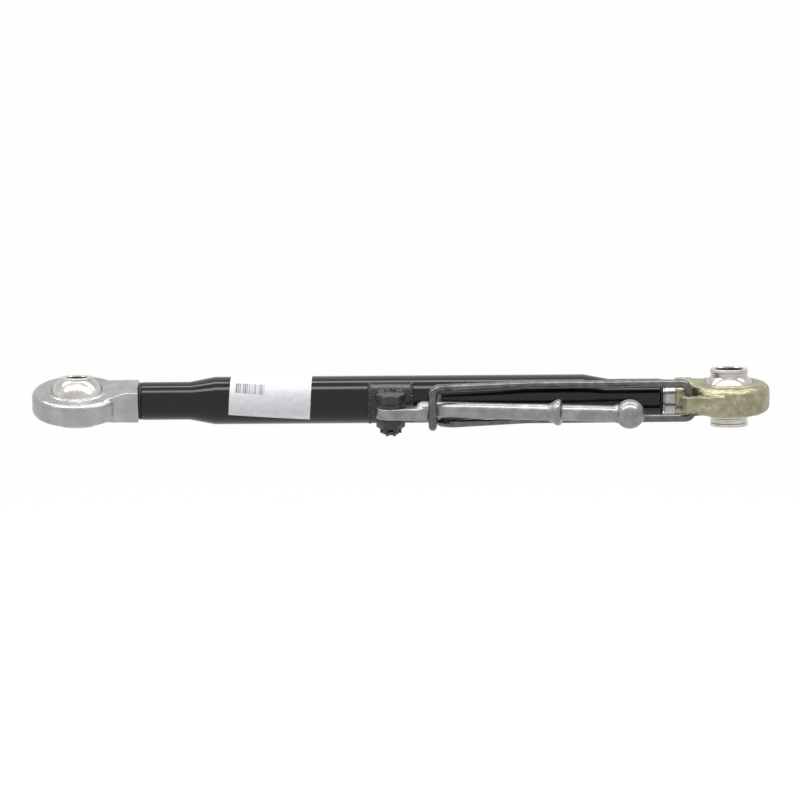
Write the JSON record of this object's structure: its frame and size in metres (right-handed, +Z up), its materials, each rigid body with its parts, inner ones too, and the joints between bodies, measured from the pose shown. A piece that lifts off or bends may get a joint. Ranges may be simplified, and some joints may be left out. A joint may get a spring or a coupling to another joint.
{
  "type": "tractor top link",
  "caption": "Adjustable tractor top link: threaded barrel with a swivel ball eye at each end, a folding turning lever and a sprung wire lock.",
  "frame": {"origin": "centre of the left ball's pin bore", "axes": "+X along the link towards the right eye, +Z up along both pin bores, -Y the side that carries the lever"},
  "size_m": [0.656, 0.1198, 0.0535],
  "materials": {
    "barrel_paint": "gloss black paint on steel tube",
    "label_paper": "bare white label, satin film",
    "seal_rubber": "soft black rubber",
    "screw_steel": "bright zinc-plated rolled thread",
    "left_eye_zinc": "bright zinc on a forging",
    "right_eye_zinc": "dull yellowish passivated zinc on a rough forging",
    "ball_steel": "turned and zinc-plated steel",
    "pivot_paint": "gloss black paint over plate and welds",
    "bolt_steel": "black bolt, nut, washer and split pin",
    "lever_zinc": "dull zinc on a round bar",
    "wire_zinc": "zinc-plated bent wire"
  },
  "bodies": {
    "barrel": {"barrel": "barrel_paint", "label": "label_paper", "right_dust_seal": "seal_rubber", "pivot_saddle": "pivot_paint", "saddle_welds": "pivot_paint", "head_weld": "pivot_paint", "pivot_bolt": "bolt_steel", "upper_washer": "bolt_steel", "castle_nut": "bolt_steel", "split_pin": "bolt_steel"},
    "left_seal": {"left_dust_seal": "seal_rubber"},
    "left_end": {"left_eye": "left_eye_zinc", "left_screw": "screw_steel"},
    "left_ball": {"left_ball": "ball_steel"},
    "right_end": {"right_eye": "right_eye_zinc", "right_screw": "screw_steel"},
    "right_ball": {"right_ball": "ball_steel"},
    "lever": {"lever_arm": "lever_zinc", "lever_knob": "lever_zinc", "stop_collar": "lever_zinc"},
    "bail": {"bail": "wire_zinc"}
  },
  "joints": [
    {"name": "left_eye_turn", "type": "hinge", "parent": "barrel", "child": "left_seal", "pos_m": [0.0564, 0, 0], "axis": [1, 0, 0], "range_deg": [0, 10800]},
    {"name": "left_eye_slide", "type": "slide", "parent": "left_seal", "child": "left_end", "axis": [-1, 0, 0], "range_m": [0, 0.0901]},
    {"name": "right_eye_slide", "type": "slide", "parent": "barrel", "child": "right_end", "axis": [1, 0, 0], "range_m": [0, 0.0901]},
    {"name": "left_ball_tilt", "type": "hinge", "parent": "left_end", "child": "left_ball", "pos_m": [0, 0, 0], "axis": [1, 0, 0], "range_deg": [-4, 32]},
    {"name": "right_ball_tilt", "type": "hinge", "parent": "right_end", "child": "right_ball", "pos_m": [0.58, 0, 0], "axis": [1, 0, 0], "range_deg": [-7, 15]},
    {"name": "lever_swing", "type": "hinge", "parent": "barrel", "child": "lever", "pos_m": [0.279, -0.03785, -0.00331], "axis": [0, 0.0872, -0.9962], "range_deg": [0, 150]},
    {"name": "bail_slide", "type": "slide", "parent": "lever", "child": "bail", "axis": [-1, 0, 0], "range_m": [0, 0.016]}
  ],
  "couplings": [
    {"joint": "left_eye_slide", "follows": "left_eye_turn", "m_per_rad": 0.00047746},
    {"joint": "right_eye_slide", "follows": "left_eye_turn", "m_per_rad": 0.00047746}
  ]
}
